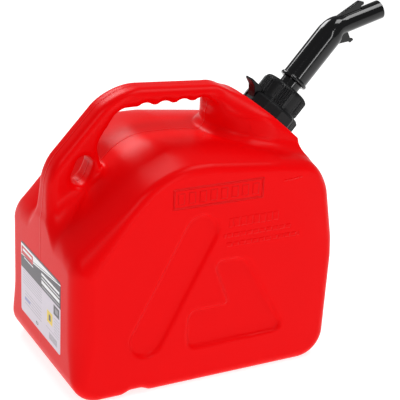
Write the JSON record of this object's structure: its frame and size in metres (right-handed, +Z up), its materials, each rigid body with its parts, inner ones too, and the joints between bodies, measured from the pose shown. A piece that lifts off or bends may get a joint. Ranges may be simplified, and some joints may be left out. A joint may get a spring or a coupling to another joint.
{
  "type": "fuel can",
  "caption": "Moulded plastic fuel can with a carrying handle, a screw collar and a sprung bent pouring spout.",
  "frame": {"origin": "middle of the can's base: half-way along the body and half-way through its depth, on the ground", "axes": "+X along the can towards the spout, +Y through its depth, +Z up"},
  "size_m": [0.3868, 0.187, 0.361],
  "materials": {
    "red_hdpe": "satin blow-moulded",
    "printed_label": "printed film",
    "matte_black_plastic": "moulded",
    "gloss_black_plastic": "polished moulded",
    "black_rubber": "moulded",
    "natural_plastic": "moulded",
    "spring_steel": "drawn wire"
  },
  "bodies": {
    "tank": {"tank_shell": "red_hdpe", "side_label": "printed_label", "lock_ring": "matte_black_plastic"},
    "lock_tab": {"lock_tab": "matte_black_plastic"},
    "spout_base": {"spout_base": "gloss_black_plastic", "neck_gasket": "black_rubber", "sleeve_o_ring": "black_rubber", "vent_tube": "natural_plastic", "valve_seat": "natural_plastic", "return_spring": "spring_steel"},
    "screw_collar": {"screw_collar": "matte_black_plastic"},
    "pour_sleeve": {"pour_sleeve": "gloss_black_plastic", "stem_spider": "natural_plastic", "valve_stem": "natural_plastic", "valve_plug": "natural_plastic", "plug_o_ring": "black_rubber"}
  },
  "joints": [
    {"name": "tab_flex", "type": "hinge", "parent": "tank", "child": "lock_tab", "pos_m": [0.08538, 0, 0.2646], "axis": [0, -1, 0], "range_deg": [0, 8], "stiffness_Nm_per_rad": 0.6},
    {"name": "spout_lift", "type": "slide", "parent": "tank", "child": "spout_base", "axis": [0.6587, 0, 0.7524], "range_m": [0, 0.0125]},
    {"name": "collar_turn", "type": "hinge", "parent": "spout_base", "child": "screw_collar", "pos_m": [0.11379, 0, 0.25302], "axis": [0.6587, 0, 0.7524], "range_deg": [0, 900]},
    {"name": "sleeve_push", "type": "slide", "parent": "spout_base", "child": "pour_sleeve", "axis": [-0.6587, 0, -0.7524], "range_m": [0, 0.007], "stiffness_N_per_m": 700, "springref_m": -0.009, "deforming": ["return_spring"]}
  ],
  "couplings": [
    {"joint": "collar_turn", "follows": "spout_lift", "rad_per_m": 1256.6}
  ]
}
